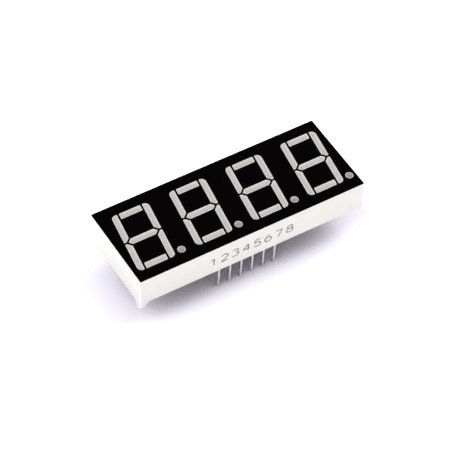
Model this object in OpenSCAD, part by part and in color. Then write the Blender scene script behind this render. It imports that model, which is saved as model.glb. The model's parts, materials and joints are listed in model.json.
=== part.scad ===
// Four-digit seven-segment LED display, common cathode, twelve pins in two rows.
// x runs along the digits from left to right, y towards their tops, z out of the face.
// The origin is the centre of the pin grid, on the plane that the four feet stand on.
// All sizes are in millimetres and degrees.

/* [Housing] */
// Height from the feet to the face
body_h = 8; // [7.4:0.1:12]
// What the housing is shorter than four digit pitches, so that modules butt at one pitch
stack_gap = 0.5; // [0.2:0.1:1]
// From each row of pins to the housing's long side
row_edge = 1.88; // [1.8:0.02:3]
// Thickness of the four side walls
wall_t = 0.8; // [0.6:0.05:0.9]
// Radius of the four upright corners
corner_r = 0.2; // [0.1:0.05:0.6]
// Height of the feet below the walls' lower edge
standoff = 1; // [0.6:0.1:1.5]
// Width of each foot where it stands
foot_w = 1.15; // [1:0.05:2]
// How far a foot's flank leans out on its way up to the wall's edge
flank_w = 1.05; // [0.9:0.05:2]
// Radius of the hollow in a foot's flank
flank_r = 2.2; // [1.6:0.1:6]
// Thickness of the black ink on the face
ink_t = 0.05; // [0.03:0.01:0.1]

/* [Digits] */
// Distance from one digit to the next
digit_pitch = 12.7; // [12.7:0.1:18]
// Height of a digit
digit_h = 14.2; // [11.8:0.1:17.4]
// Width of a digit, measured along the row
digit_w = 8.1; // [7.6:0.1:8.8]
// Lean of the digits to the right
lean = 8; // [0:1:10]
// Width of the upright segments, measured along the row
upright_w = 1.3; // [1.2:0.05:1.8]
// Height of the level segments
bar_t = 1.4; // [1.3:0.01:1.8]
// Black gap between neighbouring segments
seg_gap = 0.42; // [0.2:0.02:0.5]
// From the digit's side to the point of the middle segment
tip_in = 0.85; // [0.8:0.05:1.1]
// Radius of a digit's four outer corners, as far as the upright segments have room for it
outer_r = 0.95; // [0.6:0.05:1.2]
// Radius of every other corner of a segment
small_r = 0.12; // [0.06:0.02:0.2]
// Diameter of the decimal point
dot_d = 1.6; // [1.4:0.05:1.8]
// Gap between a digit's right side and its decimal point
dot_gap = 0.75; // [0.5:0.05:0.9]

/* [Reflector] */
// White rim of plastic that the ink leaves round each segment
rim_w = 0.12; // [0.08:0.02:0.2]
// Length of a reflector well at its floor
floor_l = 1.9; // [1.8:0.05:2.4]
// Width of a reflector well at its floor
floor_w = 0.72; // [0.6:0.02:0.8]
// Diameter of the decimal point's well at its floor
dot_floor_d = 1; // [0.9:0.05:1.1]
// Diameter of the pegs that place the circuit board
peg_d = 1.2; // [1:0.1:1.3]
// Diameter of the hollows in the reflector over the soldered pins
pocket_d = 1.4; // [1.3:0.05:1.4]
// Depth of the hollows over the soldered pins
pocket_h = 0.9; // [0.7:0.05:1.2]

/* [Circuit board] */
// Thickness of the board with its copper
board_t = 1.2; // [0.8:0.1:1.6]
// Space between the board's edge and the walls
board_gap = 0.2; // [0.1:0.05:0.4]
// Space between the board and the back of the reflector
film_t = 0.1; // [0.05:0.05:0.2]
// Epoxy that covers the back of the board
cover_t = 0.75; // [0.5:0.05:1.2]
// How far the epoxy stays above the walls' lower edge
recess = 0.15; // [0.1:0.05:0.4]
// Thickness of the copper
copper_t = 0.035; // [0.035:0.005:0.07]
// Width of the copper tracks
track_w = 0.2; // [0.15:0.05:0.25]
// Space between a peg and its hole in the board
peg_gap = 0.05; // [0.02:0.01:0.1]

/* [Pins] */
// Distance from pin to pin along a row
pin_pitch = 2.54; // [2.54:0.01:3]
// Diameter of a pin
pin_d = 0.5; // [0.4:0.05:0.6]
// Length of a pin below the feet
pin_l = 6.5; // [3:0.1:12]
// Chamfer at a pin's tip
tip_c = 0.1; // [0.05:0.01:0.12]
// Diameter of the pin's shoulder where it bears on the board
shoulder_d = 1; // [0.8:0.05:1.1]
// How far a pin's tail stands through the board
tail_h = 0.5; // [0.3:0.05:0.6]
// Space between a pin's tail and its hole in the board
tail_gap = 0.15; // [0.1:0.01:0.2]

/* [Light-emitting dice] */
// Side of a die
die_w = 0.3; // [0.2:0.02:0.36]
// Height of a die
die_h = 0.25; // [0.15:0.01:0.3]
// From a die to the foot of its bond wire
wire_run = 0.7; // [0.6:0.02:0.75]
// Thickness of a bond wire
wire_t = 0.03; // [0.02:0.005:0.04]
// How far a bond wire arches over the die
wire_rise = 0.3; // [0.2:0.02:0.4]

/* [Hidden] */
DIGITS = [1, 2, 3, 4];
SEGMENTS = ["a", "b", "c", "d", "e", "f", "g", "dp"];
PINS = [for (n = [1:12]) n];
PIN_NODES = [for (n = PINS) str("pin_", n)];
DIE_NODES = [for (k = DIGITS) for (s = SEGMENTS) str("die_", k, "_", s)];
WIRE_NODES = [for (k = DIGITS) str("bond_wires_", k)];
$fn = 48;

// Heights, from the feet up
edge_z = standoff;
pour_z = edge_z + recess;
board_z = pour_z + cover_t;
front_z = board_z + board_t;
deck_z = front_z + film_t;
top_z = body_h - ink_t;
over = 0.1;

// Half sizes of a digit, drawn upright about its own centre
half_w = digit_w / 2;
half_h = digit_h / 2;
bar_x = half_w - upright_w - seg_gap;
tip_x = half_w - tip_in;
notch_y = upright_w - tip_in + seg_gap * sqrt(2);
flat_x = tip_x + seg_gap * sqrt(2) - seg_gap / 2;
bar_y = half_h - bar_t / 2;
side_x = half_w - upright_w / 2;
side_y = (half_h + seg_gap / 2) / 2;
side_h = half_h - seg_gap / 2;

// The outer corners' arcs leave room for the inner corners', in the ink and in the reflector
web = 0.05;
lean_fit = tan(45 - lean / 2);
big_r = min(outer_r, (upright_w - small_r - web) * lean_fit,
            rim_w + (upright_w - 2 * rim_w - web) * lean_fit);

// The pin rows stand on the pin grid, as near as the level segments' wells let them
rows_min = 2 * bar_y + floor_w + pocket_d + 2 * web;
row_gap = pin_pitch * ceil(rows_min / pin_pitch);
row_y = row_gap / 2;
body_l = len(DIGITS) * digit_pitch - stack_gap;
body_w = row_gap + 2 * row_edge;
board_l = body_l - 2 * (wall_t + board_gap);
board_w = body_w - 2 * (wall_t + board_gap);
hole_d = pin_d + 2 * tail_gap;
pad_in = 0.15;
land_d = 1.1;
via_d = 0.2;
via_land_d = 0.36;
lane_y = row_y - 0.52;

// ---- Places ----

// A digit's centre
function digit_at(k) = [(k - (len(DIGITS) + 1) / 2) * digit_pitch, 0];

// Leans an upright point of a digit to the right
function leaned(p) = [p[0] + p[1] * tan(lean), p[1]];

// Centre of a segment in its digit, upright
function centre(s) =
    s == "a" ? [0, bar_y] : s == "d" ? [0, -bar_y] : s == "g" ? [0, 0] :
    s == "b" ? [side_x, side_y] : s == "c" ? [side_x, -side_y] :
    s == "e" ? [-side_x, -side_y] : [-side_x, side_y];

// Centre of a digit's decimal point, which stands on the digit's foot
dot_y = -half_h + dot_d / 2;
dot_at = [half_w + dot_y * tan(lean) + dot_gap + dot_d / 2, dot_y];

// Centre of a segment's well
function well_at(k, s) = digit_at(k) + (s == "dp" ? dot_at : leaned(centre(s)));

// A die stands in the middle of its well; the decimal point's makes room for its wire
function die_at(k, s) = well_at(k, s) - (s == "dp" ? [0, pad_in] : [0, 0]);

// Way from a die to the foot of its wire, along its segment
function wire_way(s) =
    s == "dp" ? [0, 3 * pad_in] : s == "f" || s == "e" ? leaned([0, wire_run]) :
    s == "b" || s == "c" ? leaned([0, -wire_run]) : [wire_run, 0];
function wire_end(k, s) = die_at(k, s) + wire_way(s);

// Pins 1 to 6 run left to right along the digits' feet, 7 to 12 back along their heads
function pin_x(n) = (n <= 6 ? n - 3.5 : 9.5 - n) * pin_pitch;
function pin_at(n) = [pin_x(n), n <= 6 ? -row_y : row_y];

// ---- Outlines ----

function unit(v) = v / norm(v);
function half_angle(a, p, b) = acos(unit(a - p) * unit(b - p)) / 2;
function inward(a, p, b) = unit(unit(a - p) + unit(b - p)) / sin(half_angle(a, p, b));

// A convex outline, anticlockwise, drawn in by d on every side
function drawn_in(pts, d) =
    let (n = len(pts))
    [for (i = [0:n - 1]) pts[i] + d * inward(pts[(i + n - 1) % n], pts[i], pts[(i + 1) % n])];

// An arc of radius r, in the given number of steps, in place of the corner p
function arc_corner(a, p, b, r, steps) =
    let (
        c = p + r * inward(a, p, b),
        turn = 180 - 2 * half_angle(a, p, b),
        from = atan2(p[1] - a[1], p[0] - a[0]) - 90
    )
    [for (i = [0:steps]) c + r * [cos(from + turn * i / steps), sin(from + turn * i / steps)]];

// A convex outline with its corners rounded, each with its own radius
function rounded(pts, radii) =
    let (n = len(pts))
    [for (i = [0:n - 1])
        each arc_corner(pts[(i + n - 1) % n], pts[i], pts[(i + 1) % n], radii[i],
                        radii[i] > 0.5 ? 8 : 3)];

// Sharp outline of an upright segment at the upper right, then mirrored to its own place
function upright_outline(sx, sy) =
    let (
        pts = [[half_w - upright_w, notch_y], [flat_x, seg_gap / 2], [half_w, seg_gap / 2],
               [half_w, half_h], [half_w - upright_w, half_h]],
        placed = [for (p = pts) [p[0] * sx, p[1] * sy]]
    )
    sx * sy > 0 ? placed : [for (i = [4:-1:0]) placed[i]];

function bar_outline(y) =
    [[-bar_x, y - bar_t / 2], [bar_x, y - bar_t / 2], [bar_x, y + bar_t / 2],
     [-bar_x, y + bar_t / 2]];

middle_outline =
    [[-tip_x, 0], [-tip_x + bar_t / 2, -bar_t / 2], [tip_x - bar_t / 2, -bar_t / 2],
     [tip_x, 0], [tip_x - bar_t / 2, bar_t / 2], [-tip_x + bar_t / 2, bar_t / 2]];

function sharp_outline(s) =
    s == "a" ? bar_outline(bar_y) : s == "d" ? bar_outline(-bar_y) :
    s == "g" ? middle_outline :
    s == "b" ? upright_outline(1, 1) : s == "c" ? upright_outline(1, -1) :
    s == "e" ? upright_outline(-1, -1) : upright_outline(-1, 1);

// Only the corner that is a corner of the whole digit has the large radius
function corner_radius(p) = abs(p[0]) == half_w && abs(p[1]) == half_h ? big_r : small_r;

// A segment's leaned outline, drawn in by d, in digit k
function segment_outline(k, s, d) =
    let (
        sharp = sharp_outline(s),
        radii = [for (p = sharp) max(corner_radius(p) - d, 0.04)],
        outline = rounded(drawn_in([for (p = sharp) leaned(p)], d), radii)
    )
    [for (p = outline) p + digit_at(k)];

// Size of a segment, upright
function segment_size(s) =
    s == "a" || s == "d" ? [2 * bar_x, bar_t] : s == "g" ? [2 * tip_x, bar_t] :
    [upright_w, side_h];

// Floor of a well: its mouth shrunk towards the die along and across the segment
function floor_outline(mouth, k, s) =
    let (
        c = well_at(k, s),
        size = segment_size(s) - [2 * rim_w, 2 * rim_w],
        floor_size = size[0] > size[1] ? [floor_l, floor_w] : [floor_w, floor_l],
        share = [floor_size[0] / size[0], floor_size[1] / size[1]]
    )
    [for (p = mouth)
        let (q = p - c, upright = [q[0] - q[1] * tan(lean), q[1]])
        c + leaned([upright[0] * share[0], upright[1] * share[1]])];

// ---- Shared solids ----

// A solid between two outlines of as many points each, one above the other
module loft(low, high, z0, z1) {
    n = len(low);
    points = concat([for (p = low) [p[0], p[1], z0]], [for (p = high) [p[0], p[1], z1]]);
    sides = [for (i = [0:n - 1]) let (j = (i + 1) % n)
        each [[i, i + n, j + n], [i, j + n, j]]];
    ends = [[for (i = [0:n - 1]) i], [for (i = [n - 1:-1:0]) i + n]];
    polyhedron(points = points, faces = concat(sides, ends));
}

// The space of one reflector well, from just under the deck up to the face
module well(k, s) {
    if (s == "dp") {
        translate(concat(well_at(k, s), deck_z - over))
            cylinder(d1 = dot_floor_d, d2 = dot_d - 2 * rim_w, h = top_z - deck_z + over);
    } else {
        mouth = segment_outline(k, s, rim_w);
        loft(floor_outline(mouth, k, s), mouth, deck_z - over, top_z);
    }
}

module wells() {
    for (k = DIGITS) for (s = SEGMENTS) well(k, s);
}

// A rectangle about the origin with round corners
module round_rect(l, w, r) {
    square([l - 2 * r, w], center = true);
    square([l, w - 2 * r], center = true);
    for (x = [-1, 1]) for (y = [-1, 1])
        translate([x * (l / 2 - r), y * (w / 2 - r)]) circle(r);
}

module slab(z0, z1) {
    translate([0, 0, z0]) linear_extrude(z1 - z0) children();
}

// The room inside the walls, behind the reflector
module chamber(z0, z1) {
    slab(z0, z1) square([body_l - 2 * wall_t, body_w - 2 * wall_t], center = true);
}

// The hollows over the soldered pins
module pockets() {
    for (n = PINS)
        translate(concat(pin_at(n), deck_z - over)) cylinder(d = pocket_d, h = pocket_h + over);
}

// Two pegs, one to each side of the middle line so that the board fits one way round
peg_places = [[-digit_pitch, 1.5], [digit_pitch, -1.5]];

module pegs(d, z0, z1) {
    for (p = peg_places) translate(concat(p, z0)) cylinder(d = d, h = z1 - z0);
}

// Side view of a foot: x from the corner inwards, y up, cut away by a round flank
module foot_profile() {
    toe = [foot_w, 0];
    heel = [foot_w + flank_w, edge_z];
    chord = norm(heel - toe);
    away = [heel[1] - toe[1], toe[0] - heel[0]] / chord;
    difference() {
        square([heel[0] + flank_w, edge_z + over]);
        translate((toe + heel) / 2 + away * sqrt(flank_r * flank_r - chord * chord / 4))
            circle(flank_r, $fn = 96);
    }
}

// The foot at one corner: two legs that follow the two walls and meet in it
module foot() {
    intersection() {
        union() {
            translate([-body_l / 2, -body_w / 2 + wall_t, 0]) rotate([90, 0, 0])
                linear_extrude(wall_t) foot_profile();
            translate([-body_l / 2, -body_w / 2, 0]) rotate([90, 0, 90])
                linear_extrude(wall_t) foot_profile();
        }
        slab(0, edge_z + over) round_rect(body_l, body_w, corner_r);
    }
}

// ---- Sub-parts ----

// White moulded housing and reflector in one: walls, feet, deck, wells, pegs
module housing() {
    color("ivory") {
        difference() {
            slab(edge_z, top_z) round_rect(body_l, body_w, corner_r);
            chamber(edge_z - over, deck_z);
            pockets();
            wells();
        }
        pegs(peg_d, board_z - copper_t, deck_z);
        foot();
        mirror([1, 0, 0]) foot();
        mirror([0, 1, 0]) foot();
        mirror([1, 0, 0]) mirror([0, 1, 0]) foot();
    }
}

// Black ink over the whole face, open over every segment and its rim
module face_print() {
    color([0.02, 0.02, 0.02]) slab(top_z, body_h) difference() {
        round_rect(body_l, body_w, corner_r);
        for (k = DIGITS) for (s = SEGMENTS) {
            if (s == "dp") translate(well_at(k, s)) circle(dot_d / 2);
            else polygon(segment_outline(k, s, 0));
        }
    }
}

// One casting of milky epoxy: it fills the wells, then closes the back over the board
module epoxy_fill() {
    color("gainsboro") difference() {
        union() {
            chamber(pour_z, deck_z);
            pockets();
            wells();
        }
        slab(board_z, front_z) square([board_l, board_w], center = true);
        pegs(peg_d, board_z - copper_t, deck_z);
        for (n = PINS) pin_body(n);
        for (n = PINS) fillet(n);
        for (k = DIGITS) for (s = SEGMENTS) {
            die_body(k, s);
            wire(k, s);
        }
    }
}

// A copper track of even width through a list of points
module track(pts) {
    for (i = [1:len(pts) - 1]) {
        way = pts[i] - pts[i - 1];
        if (norm(way) > track_w / 2)
            translate(pts[i - 1]) rotate(atan2(way[1], way[0])) translate([0, -track_w / 2])
                square([norm(way), track_w]);
    }
    for (p = pts) translate(p) circle(track_w / 2);
}

// Where each segment's rail on the back changes to the front, to reach a pin past other rails
lane_in = 1.7;
links = [
    ["e", [(digit_at(1)[0] + digit_at(2)[0]) / 2 + lane_in, wire_end(1, "e")[1]], 1],
    ["dp", [pin_x(3) + 0.37, wire_end(1, "dp")[1]], 3],
    ["c", [pin_x(4), wire_end(1, "c")[1]], 4],
    ["g", [pin_x(4) + 0.58, wire_end(1, "g")[1]], 5],
    ["f", [pin_x(10), wire_end(1, "f")[1]], 10],
    ["b", [(digit_at(3)[0] + digit_at(4)[0]) / 2 - lane_in, wire_end(1, "b")[1]], 7],
];

// Copper on the front of the board: the digits' common nets and the links to the pins
module front_pattern() {
    for (k = DIGITS) {
        for (s = SEGMENTS) {
            pad = s == "dp" ? 0.4 : 0.6;
            translate(die_at(k, s)) square(pad, center = true);
            translate(wire_end(k, s)) circle(s == "dp" ? 0.13 : via_land_d / 2);
        }
        track([die_at(k, "a"), die_at(k, "g"), die_at(k, "d")]);
        track([die_at(k, "f"), die_at(k, "b")]);
        track([die_at(k, "e"), die_at(k, "c")]);
        fork = digit_at(k) + leaned([0, -side_y - 1.5]);
        beside = [die_at(k, "dp")[0] - 0.75, fork[1]];
        track([fork, beside, [beside[0], die_at(k, "dp")[1]], die_at(k, "dp")]);
    }
    for (n = PINS) translate(pin_at(n)) circle(d = land_d);
    for (l = links) {
        pin = pin_at(l[2]);
        side = sign(pin[1]);
        track([l[1], [l[1][0], side * lane_y], [pin[0], side * lane_y], pin]);
        translate(l[1]) circle(d = via_land_d);
    }
    track([die_at(1, "a"), [die_at(1, "a")[0], lane_y], [pin_x(12), lane_y], pin_at(12)]);
    track([die_at(2, "b"), [pin_x(9), die_at(2, "b")[1]], pin_at(9)]);
    track([die_at(3, "a"), [pin_x(8) + 1, bar_y], pin_at(8)]);
    track([die_at(4, "d"), [die_at(4, "d")[0], -lane_y], [pin_x(6), -lane_y], pin_at(6)]);
}

// Copper on the back: one rail for each segment, past all four digits
module rear_pattern() {
    for (s = SEGMENTS) {
        track([wire_end(1, s), wire_end(4, s)]);
        for (k = DIGITS) translate(wire_end(k, s)) circle(d = via_land_d);
    }
    for (l = links) translate(l[1]) circle(d = via_land_d);
    for (n = PINS) translate(pin_at(n)) circle(d = land_d);
    track([pin_at(11), [pin_x(11), bar_y]]);
    track([pin_at(2), [pin_x(2), -bar_y]]);
}

// Everything drilled through the board for pins and pegs
module drilled() {
    for (n = PINS) translate(pin_at(n)) circle(d = hole_d);
    for (p = peg_places) translate(p) circle(d = peg_d + 2 * peg_gap);
}

module vias() {
    for (k = DIGITS) for (s = SEGMENTS) translate(wire_end(k, s)) circle(d = via_d);
    for (l = links) translate(l[1]) circle(d = via_d);
}

module board_outline() {
    square([board_l, board_w], center = true);
}

// Glass-fibre board whose solder mask lies level with the copper
module circuit_board() {
    color("seagreen") {
        slab(board_z, board_z + copper_t) difference() {
            board_outline();
            rear_pattern();
            drilled();
        }
        slab(board_z + copper_t, front_z - copper_t) difference() {
            board_outline();
            drilled();
            vias();
        }
        slab(front_z - copper_t, front_z) difference() {
            board_outline();
            front_pattern();
            drilled();
        }
    }
}

module front_copper() {
    color("gold") {
        slab(front_z - copper_t, front_z) difference() {
            front_pattern();
            drilled();
        }
        slab(board_z + copper_t, front_z - copper_t) vias();
    }
}

module rear_copper() {
    color("gold") slab(board_z, board_z + copper_t) difference() {
        rear_pattern();
        drilled();
    }
}

// Round pin with a chamfered tip, a shoulder under the board and an eight-sided tail
module pin_body(n) {
    r = pin_d / 2;
    translate(pin_at(n)) {
        rotate_extrude()
            polygon([[0, -pin_l], [r - tip_c, -pin_l], [r, tip_c - pin_l], [r, edge_z],
                     [shoulder_d / 2, board_z], [0, board_z]]);
        translate([0, 0, board_z]) cylinder(d = pin_d, h = board_t + tail_h, $fn = 8);
    }
}

module pin(n) {
    color("silver") pin_body(n);
}

// Outside of a solder fillet, from the land up the pin's tail
module fillet(n) {
    translate(concat(pin_at(n), front_z))
        cylinder(d1 = land_d - 0.1, d2 = pin_d + 0.1, h = tail_h - 0.1);
}

// Solder that fills each hole round the pin's tail and rises in a fillet on the front
module solder_joints() {
    color("lightgray") for (n = PINS) difference() {
        union() {
            translate(concat(pin_at(n), board_z)) cylinder(d = hole_d, h = board_t);
            fillet(n);
        }
        pin_body(n);
    }
}

module die_body(k, s) {
    translate(concat(die_at(k, s), front_z + die_h / 2))
        cube([die_w, die_w, die_h], center = true);
}

module die(k, s) {
    color("khaki") die_body(k, s);
}

// A bond wire: an arch from the top of the die to its foot on the board
module wire(k, s) {
    way = wire_way(s);
    run = norm(way);
    steps = 8;
    arch = [for (i = [0:steps]) let (t = i / steps)
        [run * t, (1 - t) * die_h + 4 * wire_rise * t * (1 - t)]];
    above = [for (i = [steps:-1:0]) arch[i] + [0, wire_t * (1 + 2 * abs(i / steps - 0.5))]];
    translate(concat(die_at(k, s), front_z)) rotate([90, 0, atan2(way[1], way[0])])
        linear_extrude(wire_t, center = true) polygon(concat(arch, above));
}

module bond_wires(k) {
    color("gold") for (s = SEGMENTS) wire(k, s);
}

housing();
face_print();
epoxy_fill();
circuit_board();
front_copper();
rear_copper();
solder_joints();
for (n = PINS) pin(n);
for (k = DIGITS) for (s = SEGMENTS) die(k, s);
for (k = DIGITS) bond_wires(k);
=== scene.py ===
# %% [markdown]
# # Dressing a four-digit display module
#
# The object is a display block as it comes out of its tube: a white moulding with four leaning
# figures-of-eight in a black face, standing on two rows of tinned pins. Its construction arrives
# finished and at its real size, so nothing here moves or resizes a part. What this notebook adds is
# everything that the eye uses to believe in a material: the texture of the mould, the skin of the
# ink, cloudy resin, tinned wire, and light.
#
# We load the construction first and keep its box. At the end the box of the dressed model is
# measured too, and its change is printed: dressing should add no more than a film of print.

# %% Load the construction
import json
import math

import bmesh
import bpy
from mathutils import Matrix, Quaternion, Vector


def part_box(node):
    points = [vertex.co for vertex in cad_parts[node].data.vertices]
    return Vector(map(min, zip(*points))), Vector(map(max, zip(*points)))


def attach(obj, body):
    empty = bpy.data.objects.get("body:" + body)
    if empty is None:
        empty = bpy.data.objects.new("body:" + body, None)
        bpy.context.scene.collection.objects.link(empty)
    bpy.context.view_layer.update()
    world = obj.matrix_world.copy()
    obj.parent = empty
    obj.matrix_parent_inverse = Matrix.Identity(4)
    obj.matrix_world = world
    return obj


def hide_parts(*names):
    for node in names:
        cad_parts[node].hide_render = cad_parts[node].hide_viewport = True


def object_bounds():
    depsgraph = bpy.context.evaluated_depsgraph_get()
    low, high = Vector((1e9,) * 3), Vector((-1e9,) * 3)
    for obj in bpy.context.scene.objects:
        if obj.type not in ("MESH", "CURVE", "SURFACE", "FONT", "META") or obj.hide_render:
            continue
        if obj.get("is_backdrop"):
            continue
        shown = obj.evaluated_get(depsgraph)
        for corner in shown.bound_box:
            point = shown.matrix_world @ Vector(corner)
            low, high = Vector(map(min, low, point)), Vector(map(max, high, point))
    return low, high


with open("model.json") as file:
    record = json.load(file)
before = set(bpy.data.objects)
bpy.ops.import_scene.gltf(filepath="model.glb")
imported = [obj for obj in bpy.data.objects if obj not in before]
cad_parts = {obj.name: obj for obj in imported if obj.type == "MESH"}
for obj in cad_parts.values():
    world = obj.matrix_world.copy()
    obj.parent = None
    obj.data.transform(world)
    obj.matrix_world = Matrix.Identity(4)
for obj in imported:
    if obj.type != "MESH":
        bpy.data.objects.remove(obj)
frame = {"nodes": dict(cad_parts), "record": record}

cad_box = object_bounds()
MM = 0.001
print("pieces of the construction:", len(frame["nodes"]))
print("its size in mm:", [round(side / MM, 2) for side in cad_box[1] - cad_box[0]])

# %% [markdown]
# ## Measure before making
#
# Everything that is added later has to land exactly on the module: figures on a wall, resin
# against a pin, a soft edge inside a segment. We could type those places in, but they would be wrong
# as soon as the construction changes. So the script asks the frame for the boxes of the parts, and
# works out every place from them.


# %% Read the module's main sizes
def middle(node):
    """The middle of a part's box."""
    low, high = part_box(node)
    return (low + high) / 2


ROWS = 2
PINS_IN_A_ROW = 6
PIN_NAMES = [f"pin_{n}" for n in range(1, ROWS * PINS_IN_A_ROW + 1)]
SHELL_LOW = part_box("housing")[0]
RESIN_LOW, RESIN_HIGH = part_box("epoxy_fill")
BOARD_LOW, BOARD_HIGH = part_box("circuit_board")
PIN_LOW, PIN_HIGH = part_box("pin_1")
PIN_PITCH = middle("pin_2").x - middle("pin_1").x
ROW_GAP = middle("pin_12").y - middle("pin_1").y
PIN_CENTRE = (middle("pin_1") + middle("pin_7")) / 2
print("pin pitch and row gap in mm:", [round(size / MM, 3) for size in (PIN_PITCH, ROW_GAP)])

# %% [markdown]
# ## The camera
#
# A small part like this is best seen from well back through a long lens, because a near camera
# would make the front corner swell. Our camera stands almost half a metre away for an object five
# centimetres long. It is described as one would set it up: which point it looks at, from how
# far, from which side, how high, and how much it is tipped. A quaternion that tracks the line of
# sight gives the level camera, and a second turn about that line adds the tip.

# %% Stand the camera
LOOK_AT = Vector((-3.60, -8.93, 8.03)) * MM
CAMERA_DISTANCE = 453.7 * MM
CAMERA_BEARING = math.radians(34.65)
CAMERA_HEIGHT = math.radians(50.31)
CAMERA_TIP = math.radians(4.12)
LENS = 180.85
# The camera draws from this many times nearer than the object to this many times further
CLIP_SPAN = 50


def line_of_sight(bearing, height):
    """Unit vector that looks along +Y at bearing 0, further to +X as it grows, and down by height."""
    level = math.cos(height)
    return Vector((math.sin(bearing) * level, math.cos(bearing) * level, -math.sin(height)))


camera = bpy.data.objects.new("camera", bpy.data.cameras.new("camera"))
bpy.context.scene.collection.objects.link(camera)
bpy.context.scene.camera = camera
camera.data.lens = LENS
camera.data.clip_start = CAMERA_DISTANCE / CLIP_SPAN
camera.data.clip_end = CAMERA_DISTANCE * CLIP_SPAN
sight = line_of_sight(CAMERA_BEARING, CAMERA_HEIGHT)
camera.rotation_mode = "QUATERNION"
camera.rotation_quaternion = sight.to_track_quat("-Z", "Y") @ Quaternion((0, 0, 1), CAMERA_TIP)
camera.location = LOOK_AT - sight * CAMERA_DISTANCE
print("camera at, in mm:", [round(c / MM, 1) for c in camera.location])

# %% [markdown]
# ## A helper for node trees
#
# Materials, the floor, the sky and the procedural meshes are all node trees. Written out in full,
# each node takes four or five lines, and the idea gets lost. This helper adds one node in one call:
# properties as keywords, sockets in a dictionary, and where a value is itself a socket, the two are
# linked.


# %% Add and link nodes
def add(tree, kind, sockets=None, **settings):
    """Adds a node to a tree. A socket's value is a number, a colour, or another node's output."""
    node = tree.nodes.new(kind)
    for name, value in settings.items():
        setattr(node, name, value)
    for name, value in (sockets or {}).items():
        if isinstance(value, bpy.types.NodeSocket):
            tree.links.new(value, node.inputs[name])
        else:
            node.inputs[name].default_value = value
    return node


print("one call adds a node and its links")

# %% [markdown]
# **Shorthands** stand for the commonest nodes: sums with numbers and vectors, a change of range, and
# a blend of two colours. With them, every tree below is read from top to bottom like a recipe.


# %% Name the commonest nodes
def maths(tree, operation, *values):
    """The result of a Math node."""
    return add(tree, "ShaderNodeMath", dict(enumerate(values)), operation=operation).outputs[0]


def times(tree, value, factor):
    """A value multiplied by a number or by another value."""
    return maths(tree, "MULTIPLY", value, factor)


def remap(tree, value, low=0.0, high=1.0, to_low=0.0, to_high=1.0):
    """A value between low and high, carried smoothly to another range and held at its ends."""
    sockets = {"Value": value, "From Min": low, "From Max": high, "To Min": to_low, "To Max": to_high}
    return add(tree, "ShaderNodeMapRange", sockets, interpolation_type="SMOOTHSTEP").outputs["Result"]


def vectors(tree, operation, first, second):
    """The result of a Vector Math node. The second is a vector, or a number to scale by."""
    sockets = {0: first, "Scale" if operation == "SCALE" else 1: second}
    return add(tree, "ShaderNodeVectorMath", sockets, operation=operation).outputs[0]


def blend_colours(tree, share, first, second, blend_type="MIX"):
    """First colour at share 0, second at share 1."""
    node = add(tree, "ShaderNodeMix", {"Factor": share}, data_type="RGBA", blend_type=blend_type)
    for socket, colour in (("A", first), ("B", second)):
        target = next(s for s in node.inputs if s.name == socket and s.type == "RGBA")
        if isinstance(colour, bpy.types.NodeSocket):
            tree.links.new(colour, target)
        else:
            target.default_value = (*colour, 1.0)
    return next(s for s in node.outputs if s.type == "RGBA")


print("shorthands for numbers, vectors and colours ready")

# %% [markdown]
# ## Light
#
# The module stands in a white tent, lit like a document on a copy stand: one big softbox on the
# left, one on the right, both at half height, and a white card low in front of the left corner that
# lifts the two walls in view. Each is a sun with a very wide disc. A wide disc throws a shadow with
# a soft edge, and a sun is as strong far away as it is near, so the floor stays even. The tent itself
# adds a weak light from everywhere. Together they come to a plain level: a sun of strength pi shows
# a surface in about the colour that it is given, and so does a sky of strength 1.

# %% Hang the suns
SOFTBOX_DISC = math.radians(40)
# Name, bearing seen from the front and height above the floor in degrees, strength
SUNS = [
    ("left_softbox", -90, 52, 1.44),
    ("right_softbox", 90, 52, 1.35),
    ("front_card", -42, 10, 2.35),
]

for name, bearing, height, strength in SUNS:
    lamp = bpy.data.lights.new(name, "SUN")
    lamp.energy = strength
    lamp.angle = SOFTBOX_DISC
    sun = bpy.data.objects.new(name, lamp)
    bpy.context.scene.collection.objects.link(sun)
    shining = line_of_sight(math.radians(-bearing), math.radians(height))
    sun.rotation_mode = "QUATERNION"
    sun.rotation_quaternion = shining.to_track_quat("-Z", "Y")
bpy.context.scene.view_settings.view_transform = "Standard"
print("lamps:", [sun[0] for sun in SUNS])

# %% [markdown]
# **The sky** is the tent itself. What the camera sees behind the object is a separate matter from the
# light that it gives. The Light Path node tells camera rays from lighting rays, so the sky can be
# pure white to look at and only weak as a lamp. Reflections get the white one too, or the pins would
# mirror a grey room that isn't there.

# %% Put up the tent
SKY_LIGHT = 0.2
SKY_SEEN = 1.0


def seen_directly(tree):
    """1 for rays that the eye follows: from the camera, off a mirror or through glass."""
    path = add(tree, "ShaderNodeLightPath").outputs
    shiny = maths(tree, "MAXIMUM", path["Is Glossy Ray"], path["Is Transmission Ray"])
    return maths(tree, "MAXIMUM", path["Is Camera Ray"], shiny)


def lit_and_seen(tree, lighting, showing, output):
    """Lets one shader light the scene, and gives the eye another in its place."""
    choice = add(tree, "ShaderNodeMixShader",
                 {0: seen_directly(tree), 1: lighting.outputs[0], 2: showing.outputs[0]})
    add(tree, output, {"Surface": choice.outputs[0]})


sky = bpy.data.worlds.new("white_tent")
bpy.context.scene.world = sky
sky.use_nodes = True
sky.node_tree.nodes.clear()
tents = [add(sky.node_tree, "ShaderNodeBackground", {"Color": (1, 1, 1, 1), "Strength": strength})
         for strength in (SKY_LIGHT, SKY_SEEN)]
lit_and_seen(sky.node_tree, *tents, "ShaderNodeOutputWorld")
print("sky: gives", SKY_LIGHT, "and shows", SKY_SEEN)

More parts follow.
